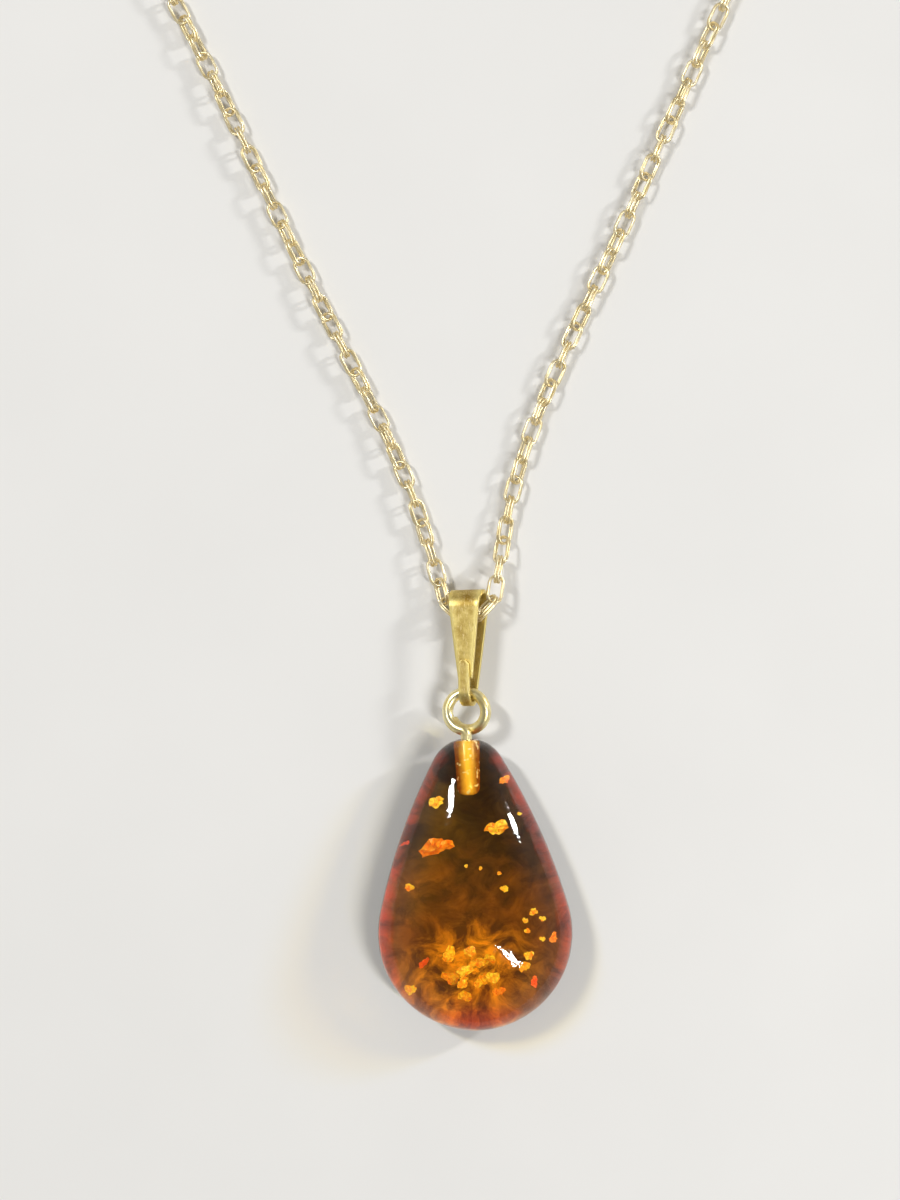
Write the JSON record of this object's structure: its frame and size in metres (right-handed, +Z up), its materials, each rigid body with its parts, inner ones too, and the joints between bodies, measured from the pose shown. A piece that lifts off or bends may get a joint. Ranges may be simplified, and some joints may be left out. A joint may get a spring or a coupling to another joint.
{
  "type": "pendant necklace",
  "caption": "Pendant necklace: a polished amber drop on a glued eye peg and a folded gold bail, on a chain of doubled oval links with a spring ring clasp, laid open.",
  "frame": {"origin": "On the flat back of the amber drop, midway between its tip and its bottom", "axes": "+Y from the drop to the chain, +Z up off the table through the domed front, +X to the right seen from the front"},
  "size_m": [0.1162, 0.2363, 0.0076],
  "materials": {
    "amber": "polished dark honey amber",
    "glue": "clear orange glue",
    "worn_gold": "worn and scratched gold plating",
    "chain_gold": "gold plated wire",
    "clasp_gold": "gold plating",
    "spring_steel": "bare spring wire"
  },
  "bodies": {
    "pendant": {"amber_drop": "amber", "sun_spangles": "amber", "glue_plug": "glue", "eye_peg": "worn_gold"},
    "bail_body": {"bail": "worn_gold"},
    "middle": {"chain_middle": "chain_gold"},
    "left_1": {"chain_left_1": "chain_gold"},
    "left_2": {"chain_left_2": "chain_gold"},
    "left_3": {"chain_left_3": "chain_gold"},
    "left_4": {"chain_left_4": "chain_gold"},
    "right_1": {"chain_right_1": "chain_gold"},
    "right_2": {"chain_right_2": "chain_gold"},
    "right_3": {"chain_right_3": "chain_gold"},
    "right_4": {"chain_right_4": "chain_gold"},
    "clasp_ring": {"clasp_jump_ring": "clasp_gold"},
    "clasp": {"clasp_eyelet": "clasp_gold", "clasp_tube": "clasp_gold", "clasp_spring": "spring_steel"},
    "bolt": {"clasp_bolt": "clasp_gold", "bolt_knob": "clasp_gold"},
    "tag_ring": {"tag_jump_ring": "clasp_gold"},
    "tag": {"end_tag": "clasp_gold"}
  },
  "joints": [
    {"name": "bail_swing", "type": "hinge", "parent": "pendant", "child": "bail_body", "pos_m": [0.00031, 0.01574, 0.00259], "axis": [0.9461, -0.014, 0.3236], "range_deg": [-90, 110]},
    {"name": "chain_tilt", "type": "hinge", "parent": "bail_body", "child": "middle", "pos_m": [0.00073, 0.02209, 0.00192], "axis": [0.9744, 0, 0.225], "range_deg": [-10, 35]},
    {"name": "left_turn_1", "type": "hinge", "parent": "middle", "child": "left_1", "pos_m": [-0.00287, 0.02988, 0.00075], "axis": [0, 0, 1], "range_deg": [0, 18]},
    {"name": "left_turn_2", "type": "hinge", "parent": "left_1", "child": "left_2", "pos_m": [-0.01995, 0.07084, 0.00075], "axis": [0, 0, 1], "range_deg": [0, 18]},
    {"name": "left_turn_3", "type": "hinge", "parent": "left_2", "child": "left_3", "pos_m": [-0.0449, 0.11555, 0.00075], "axis": [0, 0, 1], "range_deg": [0, 18]},
    {"name": "left_turn_4", "type": "hinge", "parent": "left_3", "child": "left_4", "pos_m": [-0.05438, 0.17166, 0.00075], "axis": [0, 0, 1], "range_deg": [-12, 18]},
    {"name": "right_turn_1", "type": "hinge", "parent": "middle", "child": "right_1", "pos_m": [0.00346, 0.02653, 0.00136], "axis": [0, 0, -1], "range_deg": [0, 18]},
    {"name": "right_turn_2", "type": "hinge", "parent": "right_1", "child": "right_2", "pos_m": [0.02556, 0.07437, 0.00075], "axis": [0, 0, -1], "range_deg": [0, 18]},
    {"name": "right_turn_3", "type": "hinge", "parent": "right_2", "child": "right_3", "pos_m": [0.0513, 0.11862, 0.00075], "axis": [0, 0, -1], "range_deg": [0, 18]},
    {"name": "right_turn_4", "type": "hinge", "parent": "right_3", "child": "right_4", "pos_m": [0.05457, 0.17503, 0.00075], "axis": [0, 0, -1], "range_deg": [-12, 18]},
    {"name": "clasp_ring_turn", "type": "hinge", "parent": "left_4", "child": "clasp_ring", "pos_m": [-0.0178, 0.21834, 0.00098], "axis": [0, 0, 1], "range_deg": [-35, 35]},
    {"name": "clasp_turn", "type": "hinge", "parent": "clasp_ring", "child": "clasp", "pos_m": [-0.01644, 0.21906, 0.00098], "axis": [0, 0, 1], "range_deg": [-35, 35]},
    {"name": "bolt_draw", "type": "hinge", "parent": "clasp", "child": "bolt", "pos_m": [-0.01261, 0.2211, 0.00078], "axis": [0, 0, 1], "range_deg": [0, 58], "stiffness_Nm_per_rad": 0.0002, "springref_deg": -11.46, "deforming": ["clasp_spring"]},
    {"name": "tag_ring_turn", "type": "hinge", "parent": "right_4", "child": "tag_ring", "pos_m": [0.01732, 0.21276, 0.00098], "axis": [0, 0, 1], "range_deg": [-35, 35]},
    {"name": "tag_turn", "type": "hinge", "parent": "tag_ring", "child": "tag", "pos_m": [0.01591, 0.21338, 0.00098], "axis": [0, 0, 1], "range_deg": [-35, 35]}
  ]
}
